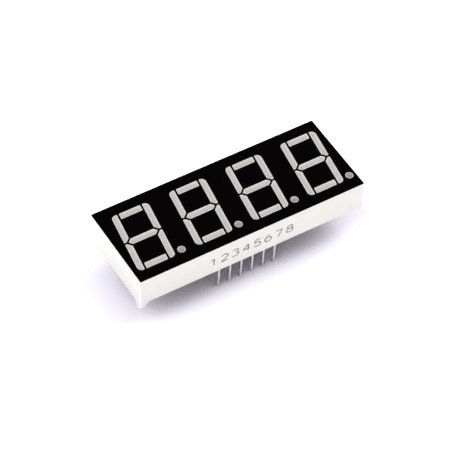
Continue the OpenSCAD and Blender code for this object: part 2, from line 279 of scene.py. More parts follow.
# %% [markdown]
# ## The floor
#
# A white sweep of paper under the pins. It must do two things that pull against each other: look
# paper-white right up to the object, and still carry the soft shadow that makes the object stand on
# something. So the floor that lights the object is ordinary pale paper, and the floor that the
# camera sees is the same paper overexposed, as a studio would leave it: the faint outer part
# of the shadow is washed out, and what stays is slightly violet, because the paper's green falls
# below full white a little before its red and blue.

# %% Spread the paper
FLOOR_REACH = 3.0
CORNERS = ((-1, -1), (1, -1), (1, 1), (-1, 1))

floor_mesh = bpy.data.meshes.new("paper_floor")
floor_z = cad_box[0].z
floor_mesh.from_pydata([(x * FLOOR_REACH, y * FLOOR_REACH, floor_z) for x, y in CORNERS],
                       [], [(0, 1, 2, 3)])
floor = bpy.data.objects.new("paper_floor", floor_mesh)
bpy.context.scene.collection.objects.link(floor)
floor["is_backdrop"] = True
print("floor at z =", round(floor_z / MM, 2), "mm")

# %% [markdown]
# **The contact** is deepened by an Ambient Occlusion node. It asks how much of the space within a
# reach is free, and that share darkens the paper where the module stands close above it. It also
# chooses between three tints: the depth of the shadow is a warmer violet than its edge, and a strip
# along the walls is a little lighter than that share says, because the white walls throw light down
# on it.

# %% Tint the paper
PAPER = (0.8, 0.8, 0.8)
PAPER_IN_THE_OPEN = (1.68, 1.65, 1.87)
PAPER_BY_THE_WALL = (2.08, 1.99, 2.24)
PAPER_IN_CONTACT = (1.18, 0.97, 1.24)
# Shares of free space between which one tint gives way to the next
CONTACT_TO_WALL = (0.31, 0.44)
WALL_TO_OPEN = (0.46, 0.60)
CONTACT_REACH = 25 * MM
CONTACT_SAMPLES = 8

paper = bpy.data.materials.new("paper")
paper.use_nodes = True
tree = paper.node_tree
tree.nodes.clear()
lit_paper = add(tree, "ShaderNodeBsdfDiffuse", {"Color": (*PAPER, 1)})
contact = add(tree, "ShaderNodeAmbientOcclusion", {"Distance": CONTACT_REACH},
              samples=CONTACT_SAMPLES).outputs
near = blend_colours(tree, remap(tree, contact["AO"], *CONTACT_TO_WALL),
                     PAPER_IN_CONTACT, PAPER_BY_THE_WALL)
tint = blend_colours(tree, remap(tree, contact["AO"], *WALL_TO_OPEN), near, PAPER_IN_THE_OPEN)
shaded = blend_colours(tree, 1.0, tint, contact["Color"], "MULTIPLY")
seen_paper = add(tree, "ShaderNodeBsdfDiffuse", {"Color": shaded})
lit_and_seen(tree, lit_paper, seen_paper, "ShaderNodeOutputMaterial")
floor_mesh.materials.append(paper)
print("tints of the paper:", PAPER_IN_CONTACT, PAPER_BY_THE_WALL, PAPER_IN_THE_OPEN)

# %% [markdown]
# ## Effects that several finishes share
#
# Plastic, ink and resin are different stuffs, but the same things happen to them: a mould or a
# screen leaves a fine grain, the tone drifts a little from place to place, dust settles, and hands
# leave hairlines. Each effect is made once, as a node group with named inputs, and placed in each
# material with its own numbers. The groups give out only heights, masks and tones. The shader itself
# stays in the material, where its fixed numbers can be set by hand.


# %% Start a node group
def shader_group(name, inputs, outputs):
    """A group with (name, value) pairs for inputs and names for outputs: its tree and its two ends."""
    group = bpy.data.node_groups.new(name, "ShaderNodeTree")
    for label, value in inputs:
        socket = group.interface.new_socket(label, in_out="INPUT", socket_type="NodeSocketFloat")
        socket.default_value = value
    for label in outputs:
        group.interface.new_socket(label, in_out="OUTPUT", socket_type="NodeSocketFloat")
    return group, add(group, "NodeGroupInput").outputs, add(group, "NodeGroupOutput").inputs


def place(tree, group, **inputs):
    """Puts a group in a material. Underscores in an input's name stand for spaces."""
    node = add(tree, "ShaderNodeGroup", node_tree=group)
    for name, value in inputs.items():
        node.inputs[name.replace("_", " ")].default_value = value
    return node.outputs


print("groups can be started and placed")

# %% [markdown]
# **Patterns** all read Object coordinates. A part's object sits at the origin and its place is in its
# mesh, so those coordinates are real places on the module, and two parts that touch share one
# continuous pattern.


# %% Measure patterns in real sizes
def object_spot(tree):
    """Object coordinates, the real place on the module."""
    return add(tree, "ShaderNodeTexCoord").outputs["Object"]


def cells(tree, size):
    """Object coordinates counted in steps of the given size."""
    return vectors(tree, "SCALE", object_spot(tree), maths(tree, "DIVIDE", 1.0, size))


def noise(tree, vector, detail=2.0, roughness=0.5):
    """A cloudy value about one half, in patches about one step wide."""
    sockets = {"Vector": vector, "Scale": 1.0, "Detail": detail, "Roughness": roughness}
    return add(tree, "ShaderNodeTexNoise", sockets).outputs["Fac"]


print("patterns are measured on the module")

# %% [markdown]
# **Grain** is the fine tooth of a surface. Two sizes of noise, one about three times the other, keep
# it from looking like a regular weave. The height goes to a Bump node, and the tone lets the same
# grain show faintly in the colour.

# %% Make the grain
COARSE_RATIO = 3.1
FINE_SHARE = 0.6
grain, given, result = shader_group(
    "grain", [("Size", 0.1 * MM), ("Spread", 0.05)], ["Height", "Tone"])
fine = noise(grain, cells(grain, given["Size"]), detail=3.0)
coarse = noise(grain, cells(grain, times(grain, given["Size"], COARSE_RATIO)), detail=2.0)
height = maths(grain, "ADD", times(grain, fine, FINE_SHARE), times(grain, coarse, 1 - FINE_SHARE))
grain.links.new(height, result["Height"])
# A height from 0 to 1 gives a tone from 1 - spread to 1 + spread
swing = times(grain, maths(grain, "SUBTRACT", height, 0.5), given["Spread"])
grain.links.new(maths(grain, "ADD", times(grain, swing, 2.0), 1.0), result["Tone"])
print("group:", grain.name)

# %% [markdown]
# **Drift** is the slow change of tone over a few millimetres, from uneven mixing or flow. It is kept
# apart from the grain because the eye reads it at another distance: from afar the grain is gone and
# only the drift is left.

# %% Make the drift
# The noise hardly ever leaves this range
CLOUD_RANGE = (0.32, 0.68)
drift, given, result = shader_group("drift", [("Reach", 4 * MM)], ["Share"])
cloud = noise(drift, cells(drift, given["Reach"]), detail=4.0, roughness=0.6)
drift.links.new(remap(drift, cloud, *CLOUD_RANGE), result["Share"])
print("group:", drift.name)

# %% [markdown]
# **Specks** are dust, pinholes and tiny bubbles. A Voronoi texture gives each cell one point. A
# speck is the small disc round that point, and only in the share of cells whose random colour falls
# under a limit, or the specks would stand in ranks.

# %% Make the specks
specks, given, result = shader_group(
    "specks", [("Spacing", 1.0 * MM), ("Width", 0.05 * MM), ("Share", 0.3)], ["Mask"])
dots = add(specks, "ShaderNodeTexVoronoi",
           {"Vector": cells(specks, given["Spacing"]), "Scale": 1.0}, feature="F1")
reach = maths(specks, "DIVIDE", given["Width"], given["Spacing"])
disc = maths(specks, "LESS_THAN", dots.outputs["Distance"], reach)
lot = add(specks, "ShaderNodeSeparateColor", {0: dots.outputs["Color"]}).outputs[0]
chosen = maths(specks, "LESS_THAN", lot, given["Share"])
specks.links.new(times(specks, disc, chosen), result["Mask"])
print("group:", specks.name)

# %% [markdown]
# **Hairlines** are what sliding out of a plastic tube leaves: fine straight scratches, mostly
# lengthwise. Noise stretched seventy times along one direction looks like brushed metal. Cutting off
# all but its highest crests leaves separate lines, and a second, slow noise lets them appear only
# here and there.

# %% Make the hairlines
HAIRLINE_TURNS = [math.radians(7), math.radians(-16)]
HAIRLINE_STRETCH = 70.0
CREST_RANGE = (0.70, 0.76)
# Hairlines appear where the slow noise is over a level, which a larger amount lowers
PATCH_LEVEL = 0.85
PATCH_DROP = 0.6
PATCH_EDGE = 0.12
hairlines, given, result = shader_group(
    "hairlines", [("Length", 6 * MM), ("Amount", 0.3)], ["Mask"])
long_way = maths(hairlines, "DIVIDE", 1.0, given["Length"])
across = times(hairlines, long_way, HAIRLINE_STRETCH)
steps = add(hairlines, "ShaderNodeCombineXYZ", {0: long_way, 1: across, 2: across}).outputs[0]
crests = []
for turn in HAIRLINE_TURNS:
    turned = add(hairlines, "ShaderNodeVectorRotate", {"Vector": object_spot(hairlines), "Angle": turn},
                 rotation_type="Z_AXIS").outputs[0]
    stretched = noise(hairlines, vectors(hairlines, "MULTIPLY", turned, steps), detail=0.0)
    crests.append(remap(hairlines, stretched, *CREST_RANGE))
patches = noise(hairlines, cells(hairlines, given["Length"]), detail=1.0)
level = maths(hairlines, "SUBTRACT", PATCH_LEVEL, times(hairlines, given["Amount"], PATCH_DROP))
shown = remap(hairlines, patches, level, maths(hairlines, "ADD", level, PATCH_EDGE))
hairlines.links.new(times(hairlines, maths(hairlines, "MAXIMUM", *crests), shown), result["Mask"])
print("group:", hairlines.name)

# %% [markdown]
# ## A blank finish
#
# Each material starts the same way: a Principled shader on an output. Numbers that are the same all
# over the surface go straight on the shader's sockets, and only what varies from place to place
# comes from nodes.


# %% Start a material
def finish(name, **fixed):
    """A new material and its Principled shader. Underscores in a socket's name stand for spaces."""
    material = bpy.data.materials.new(name)
    material.use_nodes = True
    material.node_tree.nodes.clear()
    shader = add(material.node_tree, "ShaderNodeBsdfPrincipled")
    for socket, value in fixed.items():
        shader.inputs[socket.replace("_", " ")].default_value = value
    add(material.node_tree, "ShaderNodeOutputMaterial", {"Surface": shader.outputs[0]})
    return material, material.node_tree, shader.inputs


print("finishes start from one Principled shader")

# %% [markdown]
# **What varies** over a surface reaches the shader in three places: its colour, its roughness, and
# its normal, which a Bump node tilts as fine relief would.


# %% Vary a surface
def tinted(tree, colour, tone):
    """A colour multiplied by a tone near 1."""
    grey = add(tree, "ShaderNodeCombineColor", {0: tone, 1: tone, 2: tone}).outputs[0]
    return blend_colours(tree, 1.0, colour, grey, "MULTIPLY")


# Nearly all of a grain's height lies in this range
GRAIN_RANGE = (0.3, 0.7)


def surfaced(tree, shader, colour, roughness):
    """Links what varies over the surface to the shader."""
    tree.links.new(colour, shader["Base Color"])
    tree.links.new(roughness, shader["Roughness"])


def bumped(tree, shader, height, depth, strength=0.5):
    """Lets a height from 0 to 1 tilt the surface as relief of that depth would."""
    sockets = {"Height": height, "Distance": depth, "Strength": strength}
    tree.links.new(add(tree, "ShaderNodeBump", sockets).outputs[0], shader["Normal"])


print("surfaces can vary in colour, roughness and relief")

# %% [markdown]
# ## White plastic
#
# The housing is filled polycarbonate, a hard warm white. It isn't paper: a little light goes into it
# and comes out again nearby, which softens its edges, so it gets a touch of subsurface scattering.
# The steel of the mould was spark-eroded, and the walls carry that fine matt tooth. Handling adds a
# few hairlines and specks of dust that are just darker than the plastic.


# %% Mix the white plastic
def white_plastic():
    """Warm white polycarbonate with the tooth of its mould."""
    cream, pale, grime = (0.810, 0.788, 0.748), (0.833, 0.814, 0.780), (0.42, 0.40, 0.37)
    dust_shows, rubs_show, rubs_dull = 0.35, 0.08, 0.2
    material, tree, shader = finish(
        "white_plastic", IOR=1.58, Specular_IOR_Level=0.4,
        Subsurface_Weight=0.12, Subsurface_Scale=0.5 * MM, Subsurface_Radius=(1.0, 0.85, 0.7))
    tooth = place(tree, grain, Size=0.11 * MM, Spread=0.05)
    flow = place(tree, drift, Reach=5 * MM)["Share"]
    dust = place(tree, specks, Spacing=2.2 * MM, Width=0.035 * MM, Share=0.35)["Mask"]
    rubs = place(tree, hairlines, Length=5 * MM, Amount=0.25)["Mask"]
    body = tinted(tree, blend_colours(tree, flow, cream, pale), tooth["Tone"])
    marks = maths(tree, "MAXIMUM", times(tree, dust, dust_shows), times(tree, rubs, rubs_show))
    roughness = remap(tree, flow, to_low=0.46, to_high=0.38)
    surfaced(tree, shader, blend_colours(tree, marks, body, grime),
             maths(tree, "ADD", roughness, times(tree, rubs, rubs_dull)))
    bumped(tree, shader, tooth["Height"], depth=0.006 * MM, strength=0.6)
    return material


WHITE = white_plastic()
print("mixed:", WHITE.name)

# %% [markdown]
# ## Black ink
#
# The face is screen-printed with matt ink, so that an unlit display reads as one black field. A dead
# black square looks like a hole in the scene, so the ink has what a screen leaves: a very fine
# mesh-like skin, pinholes that let a trace of white through, and some lint. Its gloss is set low,
# since the whole white room would otherwise lie on it as a grey veil.


# %% Mix the black ink
def black_ink():
    """Matt screen ink, nearly without gloss."""
    cool, warm, lint_grey = (0.0008, 0.0005, 0.0006), (0.0013, 0.0010, 0.0010), (0.55, 0.54, 0.53)
    lint_shows, rubs_show, rubs_polish = 0.05, 0.010, 0.15
    material, tree, shader = finish("black_ink", IOR=1.45, Specular_IOR_Level=0.01)
    skin = place(tree, grain, Size=0.07 * MM, Spread=0.5)
    flow = place(tree, drift, Reach=6 * MM)["Share"]
    lint = place(tree, specks, Spacing=1.5 * MM, Width=0.022 * MM, Share=0.3)["Mask"]
    rubs = place(tree, hairlines, Length=7 * MM, Amount=0.3)["Mask"]
    body = tinted(tree, blend_colours(tree, flow, cool, warm), skin["Tone"])
    marks = maths(tree, "MAXIMUM", times(tree, lint, lint_shows), times(tree, rubs, rubs_show))
    roughness = remap(tree, flow, to_low=0.74, to_high=0.86)
    surfaced(tree, shader, blend_colours(tree, marks, body, lint_grey),
             maths(tree, "SUBTRACT", roughness, times(tree, rubs, rubs_polish)))
    bumped(tree, shader, skin["Height"], depth=0.004 * MM)
    return material


BLACK = black_ink()
print("mixed:", BLACK.name)

# %% [markdown]
# ## Milky resin
#
# The segments are windows of cast epoxy, clouded with a white powder that spreads the light of one
# tiny die over the whole segment. Switched off, they look like grey-white porcelain: palest along
# their edge, where the white wall of the well lies just under the surface, and greyer in the middle,
# where the well is deep. The round points are narrow wells and come out greyer still.
#
# That change belongs to the shape of each window, so it can't be a pattern in space. The mesh of the
# resin will carry three numbers per corner, `depth`, `point` and `back`, and the material reads them
# with Attribute nodes. On the back, the resin closes over the circuit board, which dims it slightly
# where it lies beneath.


# %% Mix the milky resin
def milky_resin():
    """Clouded epoxy, whose colour follows the shape of each window."""
    bar_rim, bar_middle = (0.66, 0.64, 0.61), (0.505, 0.492, 0.467)
    point_rim, point_middle = (0.29, 0.285, 0.283), (0.272, 0.265, 0.264)
    back_open, back_over_board = (0.72, 0.705, 0.67), (0.60, 0.595, 0.535)
    cloud, bubble = (0.80, 0.78, 0.74), (0.85, 0.84, 0.82)
    clouds_show, bubbles_show = 0.10, 0.25
    # How far inside and outside the board's edge its shade fades
    fade_in, fade_out = 0.35 * MM, 0.1 * MM
    material, tree, shader = finish(
        "milky_resin", IOR=1.52, Specular_IOR_Level=0.3,
        Subsurface_Weight=0.15, Subsurface_Scale=0.4 * MM, Subsurface_Radius=(1.0, 0.95, 0.9))
    powder = place(tree, grain, Size=0.14 * MM, Spread=0.34)
    flow = place(tree, drift, Reach=1.3 * MM)["Share"]
    bubbles = place(tree, specks, Spacing=0.9 * MM, Width=0.03 * MM, Share=0.25)["Mask"]
    depth, point, back = [add(tree, "ShaderNodeAttribute", attribute_name=label).outputs["Fac"]
                          for label in ("depth", "point", "back")]
    front = blend_colours(tree, point, blend_colours(tree, depth, bar_rim, bar_middle),
                          blend_colours(tree, depth, point_rim, point_middle))
    spot = add(tree, "ShaderNodeSeparateXYZ", {0: object_spot(tree)}).outputs
    inside = [remap(tree, maths(tree, "ABSOLUTE", way), half - fade_in, half + fade_out,
                    to_low=1.0, to_high=0.0) for way, half in zip(spot, BOARD_HIGH.xy)]
    behind = blend_colours(tree, times(tree, *inside), back_open, back_over_board)
    whole = blend_colours(tree, back, front, behind)
    clouded = blend_colours(tree, times(tree, flow, clouds_show), whole, cloud)
    powdered = tinted(tree, clouded, powder["Tone"])
    surfaced(tree, shader, blend_colours(tree, times(tree, bubbles, bubbles_show), powdered, bubble),
             remap(tree, back, to_low=0.42, to_high=0.16))
    bumped(tree, shader, powder["Height"], depth=0.004 * MM)
    return material


RESIN = milky_resin()
print("mixed:", RESIN.name)

# %% [markdown]
# ## Tinned wire, solder and copper
#
# Three metals, and one idea: a metal has no colour of its own but tints its reflection, so nearly
# all of its character is in the roughness. The wire comes first. Drawing leaves fine lines along its
# length, and the thin tin over them is scuffed in places.


# %% Mix the tinned wire
def tinned_wire():
    """Wire with drawn lines along its length under a thin coat of tin."""
    grey_tin, pale_tin, scuffed = (0.70, 0.695, 0.675), (0.79, 0.785, 0.765), (0.45, 0.43, 0.41)
    scuffs_show = 0.3
    # Steps of the noise to a metre: many across the wire and few along it, which makes long lines
    line_steps = (9 / MM, 9 / MM, 0.7 / MM)
    material, tree, shader = finish("tinned_wire", Metallic=1.0)
    lines = noise(tree, vectors(tree, "MULTIPLY", object_spot(tree), line_steps), detail=3.0)
    coat = place(tree, drift, Reach=0.8 * MM)["Share"]
    scuffs = place(tree, specks, Spacing=0.6 * MM, Width=0.05 * MM, Share=0.2)["Mask"]
    body = blend_colours(tree, coat, grey_tin, pale_tin)
    surfaced(tree, shader, blend_colours(tree, times(tree, scuffs, scuffs_show), body, scuffed),
             remap(tree, lines, *GRAIN_RANGE, to_low=0.17, to_high=0.32))
    bumped(tree, shader, lines, depth=0.004 * MM)
    return material


TIN = tinned_wire()
print("mixed:", TIN.name)

# %% [markdown]
# **Solder** froze from a liquid, so it is smooth, with a faint mottle where its crystals met. The
# grain group makes the mottle, and its height also tilts the surface a little.


# %% Mix the solder
def frozen_solder():
    """Bright solder with a faint crystal mottle."""
    solder_grey = (0.74, 0.74, 0.73)
    material, tree, shader = finish("frozen_solder", Metallic=1.0)
    crystals = place(tree, grain, Size=0.08 * MM, Spread=0.12)
    surfaced(tree, shader, tinted(tree, solder_grey, crystals["Tone"]),
             remap(tree, crystals["Height"], *GRAIN_RANGE, to_low=0.2, to_high=0.38))
    bumped(tree, shader, crystals["Height"], depth=0.01 * MM, strength=0.6)
    return material


SOLDER = frozen_solder()
print("mixed:", SOLDER.name)

# %% [markdown]
# **Copper** foil is rolled smooth. Where air reached it, it is browner and duller, so one slow
# drift drives both its colour and its roughness.


# %% Mix the copper
def rolled_copper():
    """Copper foil, duller and browner where air reached it."""
    bright, brown = (0.86, 0.50, 0.33), (0.66, 0.38, 0.24)
    material, tree, shader = finish("rolled_copper", Metallic=1.0)
    air = place(tree, drift, Reach=2.5 * MM)["Share"]
    rolled = place(tree, grain, Size=0.06 * MM, Spread=0.1)
    surfaced(tree, shader, tinted(tree, blend_colours(tree, air, bright, brown), rolled["Tone"]),
             remap(tree, air, to_low=0.28, to_high=0.48))
    bumped(tree, shader, rolled["Height"], depth=0.003 * MM)
    return material


COPPER = rolled_copper()
print("mixed:", COPPER.name)

# %% [markdown]
# ## What the resin hides
#
# Board, dice and bond wires are sealed in, and no camera will find them. They get their finishes all
# the same, because someone may lift the housing off the model to look at them. Glass cloth under the
# board's mask shows as a plain weave, which two crossed waves make.


# %% Mix the board's laminate
def board_laminate():
    """Pale green-grey mask over glass cloth."""
    shaded_mask, pale_mask = (0.62, 0.60, 0.44), (0.70, 0.68, 0.54)
    # At this scale the waves repeat every 0.57 mm
    cloth_scale = 0.55 / MM
    material, tree, shader = finish("board_laminate", IOR=1.5, Specular_IOR_Level=0.5)
    yarns = [add(tree, "ShaderNodeTexWave",
                 {"Vector": object_spot(tree), "Scale": cloth_scale, "Distortion": 0.6},
                 wave_type="BANDS", bands_direction=way).outputs["Fac"] for way in ("X", "Y")]
    weave = times(tree, *yarns)
    mask_coat = place(tree, drift, Reach=3 * MM)["Share"]
    body = blend_colours(tree, mask_coat, shaded_mask, pale_mask)
    surfaced(tree, shader, tinted(tree, body, remap(tree, weave, to_low=0.93, to_high=1.03)),
             remap(tree, weave, to_low=0.34, to_high=0.26))
    bumped(tree, shader, weave, depth=0.008 * MM)
    return material


LAMINATE = board_laminate()
print("mixed:", LAMINATE.name)

# %% [markdown]
# **A die** is a crumb of amber crystal with sawn sides, and its wire is gold, thinner than a hair.
# Both are so small that one fine grain does for each.


# %% Mix the die and its wire
def crystal_die():
    """Dark amber crystal with sawn sides."""
    amber = (0.42, 0.33, 0.18)
    material, tree, shader = finish("crystal_die", IOR=3.3, Specular_IOR_Level=0.5)
    sawn = place(tree, grain, Size=0.02 * MM, Spread=0.3)
    surfaced(tree, shader, tinted(tree, amber, sawn["Tone"]),
             remap(tree, sawn["Height"], *GRAIN_RANGE, to_low=0.25, to_high=0.5))
    return material


def gold_wire():
    """Drawn gold, thinner than a hair."""
    gold = (0.95, 0.70, 0.32)
    material, tree, shader = finish("gold_wire", Metallic=1.0)
    drawn = place(tree, grain, Size=0.02 * MM, Spread=0.08)
    surfaced(tree, shader, tinted(tree, gold, drawn["Tone"]),
             remap(tree, drawn["Height"], *GRAIN_RANGE, to_low=0.14, to_high=0.26))
    return material


DIE = crystal_die()
GOLD = gold_wire()
print("mixed:", DIE.name, "and", GOLD.name)

# %% [markdown]
# ## Dress the parts as they are
#
# The record that comes with the construction says which finish each part takes. We follow it, so a
# part can't be forgotten. Parts whose shape is already right keep their own mesh, and only their
# material slot changes. The housing, the resin and the pins are replaced further on by finer pieces.

# %% Give every part its finish
FINISHES = {
    "white_plastic": WHITE,
    "black_ink": BLACK,
    "milky_epoxy": RESIN,
    "tinned_pin": TIN,
    "solder": SOLDER,
    "copper": COPPER,
    "board_laminate": LAMINATE,
    "die": DIE,
    "gold_wire": GOLD,
}
for part in frame["record"]["subparts"]:
    piece = frame["nodes"][part["node"]]
    if not piece.data.materials:
        piece.data.materials.append(None)
    for slot in piece.material_slots:
        slot.material = FINISHES[part["material_slot"]]

# %% [markdown]
# ## Keep a finer copy of a part
#
# A part arrives as loose triangles, which is exact but hard to work on: it has no shared corners to
# bevel or smooth. So a finer piece starts from a copy, whose doubled corners are merged and whose
# flat fields of triangles are dissolved into whole faces.

# %% Copy a part with whole faces
MERGE_WITHIN = 0.0001 * MM
FLAT_WITHIN = math.radians(0.2)


def whole_faces(node):
    """A part's mesh as a new bmesh with merged corners and whole flat faces."""
    bm = bmesh.new()
    bm.from_mesh(frame["nodes"][node].data)
    bmesh.ops.remove_doubles(bm, verts=bm.verts, dist=MERGE_WITHIN)
    bmesh.ops.dissolve_limit(bm, angle_limit=FLAT_WITHIN, verts=bm.verts, edges=bm.edges)
    return bm


print("parts can be copied with whole faces")

# %% [markdown]
# ** The finished mesh** becomes a piece that rides on the module. The part that it stands for is left
# alone and hidden.


# %% Finish and place a piece
def mesh_from(bm, name):
    """Turns a finished bmesh into a mesh and frees it."""
    mesh = bpy.data.meshes.new(name)
    bm.to_mesh(mesh)
    bm.free()
    return mesh


def softened(mesh, angle):
    """Rounds the shading across every edge flatter than the angle, and keeps the others crisp."""
    mesh.polygons.foreach_set("use_smooth", [True] * len(mesh.polygons))
    mesh.set_sharp_from_angle(angle=angle)
    return mesh


def piece_from(name, mesh, material, slot, *stands_for):
    """Puts a finished mesh in the scene as a piece that rides on the module."""
    mesh.materials.clear()
    mesh.materials.append(material)
    piece = bpy.data.objects.new(name, mesh)
    bpy.context.scene.collection.objects.link(piece)
    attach(piece, "root")
    if stands_for:
        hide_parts(*stands_for)


print("meshes can be finished and placed")

# %% [markdown]
# ## The housing
#
# No moulded edge is perfectly sharp, and the eye knows it: a bevel of a twentieth of a millimetre is
# enough to catch a line of light along the lower rim and down the hollow flanks of the feet. A Bevel
# modifier would round the thirty-two wells as well, at the cost of thousands of faces that nobody
# sees. So the edges are picked by place, the walls' lower rim and all below it, and bevelled in the
# mesh.

# %% Round the lower rim and the feet
RIM_BEVEL = 0.05 * MM
# The feet hold the walls' lower rim this far off the floor of the box
FOOT_H = 1.0 * MM
RIM_REACH = FOOT_H + 0.05 * MM
SHARP = math.radians(30)

shell = whole_faces("housing")
rim_edges = [e for e in shell.edges
             if e.is_manifold and e.calc_face_angle() > SHARP
             and all(v.co.z < SHELL_LOW.z + RIM_REACH for v in e.verts)]
bmesh.ops.bevel(shell, geom=rim_edges, offset=RIM_BEVEL, offset_type="OFFSET", segments=2,
                profile=0.5, affect="EDGES", clamp_overlap=True)
shell_mesh = softened(mesh_from(shell, "housing_shell"), SHARP)
piece_from("housing_shell", shell_mesh, WHITE, "white_plastic", "housing")
print("bevelled edges:", len(rim_edges), "faces:", len(shell_mesh.polygons))

# %% [markdown]
# ## The resin windows
#
# Each window in the face is one flat polygon. To let its colour change from edge to middle it needs
# inner corners, and a plain inset would tangle in the tight corners of a segment. The trick is a
# spine: the line that runs down the middle of the window and stops half a width short of its ends.
# Every corner of the outline has one nearest point on the spine, and moving all corners by the same
# share of that way gives a clean smaller outline.

# %% Find a window's spine
# A spine shorter than this counts as one place
SHORTEST_SPINE = 0.01 * MM


def spine_of(corners):
    """The two ends of the line down the middle of a convex outline."""
    centre = sum(corners, Vector()) / len(corners)
    spread = [[sum((c - centre)[i] * (c - centre)[j] for c in corners) for j in (0, 1)] for i in (0, 1)]
    angle = 0.5 * math.atan2(2 * spread[0][1], spread[0][0] - spread[1][1])
    along = Vector((math.cos(angle), math.sin(angle), 0))
    across = Vector((-along.y, along.x, 0))
    reach = [max(abs((c - centre).dot(way)) for c in corners) for way in (along, across)]
    half = max(reach) - min(reach)
    way = along if reach[0] >= reach[1] else across
    return centre - way * half, centre + way * half


def towards(corner, spine, share):
    """The corner moved a share of the way to its nearest point on the spine."""
    start, end = spine
    run = end - start
    along = 0.0 if run.length < SHORTEST_SPINE else (corner - start).dot(run) / run.length_squared
    nearest = start + run * min(max(along, 0.0), 1.0)
    return corner + (nearest - corner) * share


print("windows can shrink towards a spine")

# %% [markdown]
# **The windows** are the faces that lie in the front of the casting. The copy also gets three empty
# layers, one for each of the numbers that the material reads.

# %% Find the windows of the resin
# Nearer to the front than this, a face is a window
FRONT_BAND = 0.01 * MM

resin = whole_faces("epoxy_fill")
depth_of, point_of, back_of = [resin.verts.layers.float.new(label)
                               for label in ("depth", "point", "back")]
windows = [f for f in resin.faces if f.calc_center_median().z > RESIN_HIGH.z - FRONT_BAND]
print("windows:", len(windows))

# %% [markdown]
# **The dish** is left by curing: resin shrinks, and each window goes slightly hollow, like the skin of
# milk in a spoon. So the rings sink along a parabola. The dish is less than a tenth of a millimetre
# deep, yet it tilts the far side of every segment towards the light and the near side away from it.
#
# Each ring also says how deep the resin looks there, and whether its window is a round point. A
# point's colour reaches full depth only near its middle.

# %% Cut a dish into every window
DISH_DEPTH = 0.08 * MM
# How far each ring has gone from the outline to the spine, and how deep the resin looks there
BAR_RINGS = [(0.12, 0.4), (0.32, 0.8), (0.62, 1.0), (0.90, 1.0)]
POINT_RINGS = [(0.12, 0.1), (0.32, 0.4), (0.62, 0.8), (0.90, 1.0)]
# A window whose width and height differ by less than this is a round point
ROUND_WITHIN = 0.05 * MM

round_ones = 0
for window in windows:
    ring = list(window.verts)
    corners = [v.co.copy() for v in ring]
    sides = [max(c[i] for c in corners) - min(c[i] for c in corners) for i in (0, 1)]
    is_point = float(abs(sides[0] - sides[1]) < ROUND_WITHIN)
    round_ones += is_point
    spine = spine_of(corners)
    for v in ring:
        v[point_of] = is_point
    resin.faces.remove(window)
    for share, depth in POINT_RINGS if is_point else BAR_RINGS:
        sunk = Vector((0, 0, DISH_DEPTH * (1 - (1 - share) ** 2)))
        inner = []
        for corner in corners:
            v = resin.verts.new(towards(corner, spine, share) - sunk)
            v[depth_of], v[point_of] = depth, is_point
            inner.append(v)
        for i in range(len(ring)):
            j = (i + 1) % len(ring)
            resin.faces.new((ring[i], ring[j], inner[j], inner[i]))
        ring = inner
    resin.faces.new(ring)
print("of which round:", int(round_ones))

# %% [markdown]
# **The back** of the casting gets the third number. It marks every corner that lies behind the board,
# and there the material takes its colours and its gloss for the back.

# %% Mark the back and place the casting
for v in resin.verts:
    if v.co.z < BOARD_LOW.z:
        v[back_of] = 1.0
resin_mesh = softened(mesh_from(resin, "resin_casting"), SHARP)
piece_from("resin_casting", resin_mesh, RESIN, "milky_epoxy", "epoxy_fill")
print("casting:", len(resin_mesh.polygons), "faces")

# %% [markdown]
# ## Growing pieces with Geometry Nodes
#
# The pins repeat twelve times, the collars of resin round them repeat with them, and the figures
# on the wall are strokes that follow a path. All three are curves with a thickness, so all three are
# grown by Geometry Nodes from a curve object whose points carry their own radius. The first helpers
# start such a tree with named inputs, and give a curve its thickness.


# %% Start a geometry tree
def geometry_tree(name, inputs):
    """A tree that takes and gives geometry. inputs are (name, kind) pairs; returns it with its ends."""
    tree = bpy.data.node_groups.new(name, "GeometryNodeTree")
    tree.interface.new_socket("Geometry", in_out="INPUT", socket_type="NodeSocketGeometry")
    for label, kind in inputs:
        tree.interface.new_socket(label, in_out="INPUT", socket_type=f"NodeSocket{kind}")
    tree.interface.new_socket("Geometry", in_out="OUTPUT", socket_type="NodeSocketGeometry")
    return tree, add(tree, "NodeGroupInput").outputs, add(tree, "NodeGroupOutput").inputs


def thickened(tree, path, radius, sides):
    """Nodes that turn a curve into a closed round bar with the given radius at each point."""
    hoop = add(tree, "GeometryNodeCurvePrimitiveCircle", {"Resolution": sides, "Radius": 1.0})
    sockets = {"Curve": path, "Profile Curve": hoop.outputs["Curve"], "Scale": radius, "Fill Caps": True}
    return add(tree, "GeometryNodeCurveToMesh", sockets).outputs["Mesh"]


print("trees can be started")

# %% [markdown]
# **To run a tree**, we make a curve object, put the tree on it as a modifier and fill in the inputs.
# They are set by identifier, because that is how a modifier stores them. The result is kept as a
# plain mesh, and the curve is thrown away.


# %% Run a tree on a curve
def path_curve(name, strokes):
    """A curve object from strokes, each a list of (point, radius)."""
    curve = bpy.data.curves.new(name, "CURVE")
    curve.dimensions = "3D"
    for stroke in strokes:
        spline = curve.splines.new("POLY")
        spline.points.add(len(stroke) - 1)
        for knot, (place_at, radius) in zip(spline.points, stroke):
            knot.co = (*place_at, 1.0)
            knot.radius = radius
    path = bpy.data.objects.new(name, curve)
    bpy.context.scene.collection.objects.link(path)
    return path


